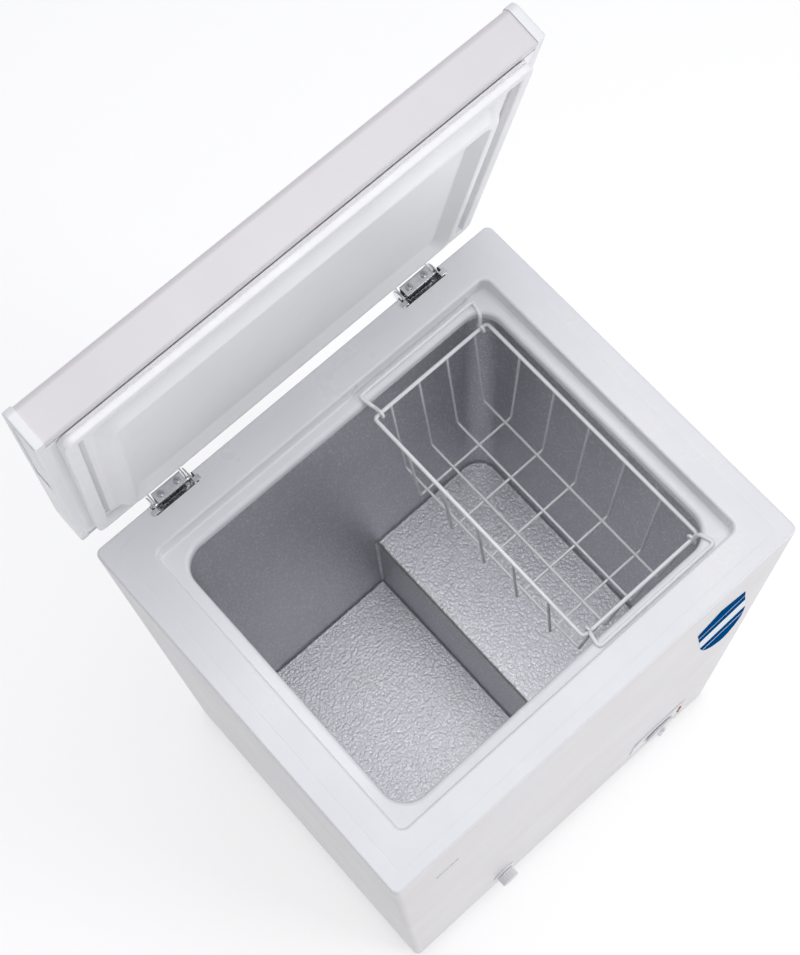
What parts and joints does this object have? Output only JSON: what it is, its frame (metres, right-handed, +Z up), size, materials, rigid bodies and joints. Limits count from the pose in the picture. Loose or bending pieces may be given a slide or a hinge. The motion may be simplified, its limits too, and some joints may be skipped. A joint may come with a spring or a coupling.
{
  "type": "chest freezer",
  "caption": "Compact chest freezer with a lift-up sprung lid, an embossed metal liner with a compressor step, a hanging wire basket, a thermostat knob and a drain.",
  "frame": {"origin": "centre of the cabinet's footprint, on the floor that its feet stand on", "axes": "+X to the right seen from the front, +Y to the back (the hinge side), +Z up"},
  "size_m": [0.535, 0.5352, 1.2359],
  "materials": {
    "painted_steel": "gloss",
    "galvanised_steel": "satin",
    "insulation_foam": "matte",
    "embossed_aluminium": "satin",
    "white_plastic": "satin",
    "thermoformed_plastic": "satin",
    "soft_white_rubber": "matte",
    "copper_tube": "satin",
    "black_enamel": "satin",
    "black_rubber": "matte",
    "zinc_screw": "satin",
    "dark_plastic": "matte",
    "grey_plastic": "matte",
    "indicator_lens": "gloss",
    "blue_label": "satin",
    "chrome_plate": "gloss",
    "spring_steel": "satin",
    "coated_wire": "satin"
  },
  "bodies": {
    "cabinet": {"cabinet_wrap": "painted_steel", "rear_panel": "painted_steel", "base_pan": "galvanised_steel", "compressor_partition": "galvanised_steel", "compressor_tray": "galvanised_steel", "cabinet_foam": "insulation_foam", "inner_liner": "embossed_aluminium", "top_collar": "white_plastic", "control_panel": "white_plastic", "drain_tube": "white_plastic", "drain_outlet": "white_plastic", "condenser_coil": "copper_tube", "evaporator_coil": "copper_tube", "filter_drier": "copper_tube", "suction_tube": "copper_tube", "discharge_tube": "copper_tube", "capillary_tube": "copper_tube", "compressor_shell": "black_enamel", "compressor_grommets": "black_rubber", "feet": "black_rubber", "compressor_bolts": "zinc_screw", "grille_screws": "zinc_screw", "hinge_screws": "zinc_screw", "terminal_cover": "dark_plastic", "rear_grille": "dark_plastic", "power_inlet": "dark_plastic", "thermostat_body": "grey_plastic", "front_badge": "grey_plastic", "indicator_lenses": "indicator_lens", "front_label": "blue_label", "hinge_base_left": "chrome_plate", "hinge_base_right": "chrome_plate", "hinge_pins": "chrome_plate", "hinge_springs": "spring_steel"},
    "lid": {"lid_skin": "painted_steel", "lid_end_cap_left": "white_plastic", "lid_end_cap_right": "white_plastic", "lid_foam": "insulation_foam", "lid_liner": "thermoformed_plastic", "lid_gasket": "soft_white_rubber", "lid_vent_plug": "dark_plastic", "end_cap_screws": "white_plastic", "hinge_leaf_left": "chrome_plate", "hinge_leaf_right": "chrome_plate", "leaf_screws": "zinc_screw"},
    "basket": {"basket_rim": "coated_wire", "basket_long_wires": "coated_wire", "basket_cross_wires": "coated_wire"},
    "front_hanger": {"hanger_front": "coated_wire"},
    "rear_hanger": {"hanger_rear": "coated_wire"},
    "knob": {"thermostat_knob": "white_plastic"},
    "outer_cap": {"drain_cap": "white_plastic"},
    "inner_plug": {"drain_plug": "soft_white_rubber"}
  },
  "joints": [
    {"name": "lid_hinge", "type": "hinge", "parent": "cabinet", "child": "lid", "pos_m": [0, 0.227, 0.7805], "axis": [-1, 0, 0], "range_deg": [-79, 0], "stiffness_Nm_per_rad": 2, "springref_deg": 22.92},
    {"name": "basket_lift", "type": "slide", "parent": "cabinet", "child": "basket", "axis": [0, 0, 1], "range_m": [0, 0.26]},
    {"name": "front_hanger_swing", "type": "hinge", "parent": "basket", "child": "front_hanger", "pos_m": [0.123, -0.158, 0.748], "axis": [-1, 0, 0], "range_deg": [0, 88]},
    {"name": "rear_hanger_swing", "type": "hinge", "parent": "basket", "child": "rear_hanger", "pos_m": [0.123, 0.158, 0.748], "axis": [1, 0, 0], "range_deg": [0, 88]},
    {"name": "knob_turn", "type": "hinge", "parent": "cabinet", "child": "knob", "pos_m": [0.167, -0.2294, 0.105], "axis": [0, -1, 0], "range_deg": [0, 270]},
    {"name": "drain_cap_pull", "type": "slide", "parent": "cabinet", "child": "outer_cap", "axis": [0, -1, 0], "range_m": [0, 0.02]},
    {"name": "drain_plug_pull", "type": "slide", "parent": "cabinet", "child": "inner_plug", "axis": [0, 0, 1], "range_m": [0, 0.05]}
  ]
}
